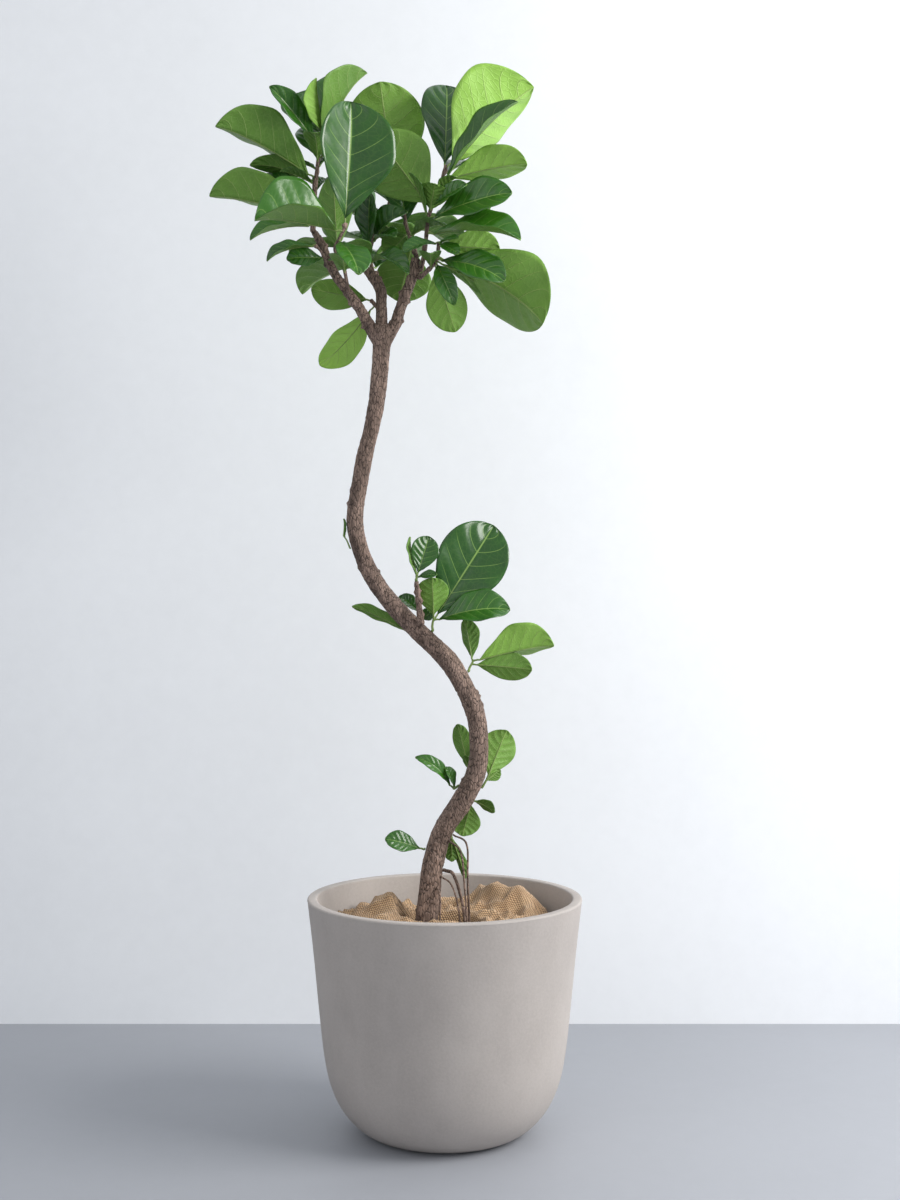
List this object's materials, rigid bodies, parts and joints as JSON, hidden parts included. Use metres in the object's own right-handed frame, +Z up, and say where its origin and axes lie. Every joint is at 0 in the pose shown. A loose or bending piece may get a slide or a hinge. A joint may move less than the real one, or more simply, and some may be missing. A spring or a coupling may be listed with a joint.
{
  "type": "potted fiddle leaf fig tree",
  "caption": "Potted indoor fig tree with a bent woody trunk, a fork of boughs, masses of broad leaves, and a round matte pot with cloth over the soil.",
  "frame": {"origin": "centre of the pot's flat underside, where it meets the floor", "axes": "+Z up; the plant's front, as it is pictured, looks along -Y; +X is to its right in that view"},
  "size_m": [0.5719, 0.4502, 1.6372],
  "materials": {
    "pot": "matte fibre clay",
    "soil": "moist soil",
    "jute": "coarse plain weave",
    "bark": "fissured bark",
    "leaf": "satin leaf"
  },
  "bodies": {
    "root": {"aerial_root_1": "bark", "aerial_root_2": "bark", "aerial_root_3": "bark", "aerial_root_4": "bark", "aerial_root_5": "bark", "bough_left": "bark", "bough_left_upper": "bark", "bough_middle": "bark", "bough_right": "bark", "burlap": "jute", "foliage_back": "leaf", "foliage_front": "leaf", "foliage_inner": "leaf", "foliage_left": "leaf", "foliage_left_low": "leaf", "foliage_low": "leaf", "foliage_middle": "leaf", "foliage_right": "leaf", "foliage_right_low": "leaf", "pot": "pot", "root_ball": "soil", "shoot_behind": "leaf", "shoot_bud": "leaf", "shoot_foot": "leaf", "shoot_foot_back": "leaf", "shoot_foot_left": "leaf", "shoot_left": "leaf", "shoot_low_back": "leaf", "shoot_low_left": "leaf", "shoot_low_right": "leaf", "shoot_middle": "leaf", "shoot_right": "leaf", "shoot_spur": "leaf", "spur_middle": "bark", "trunk": "bark"}
  },
  "joints": []
}
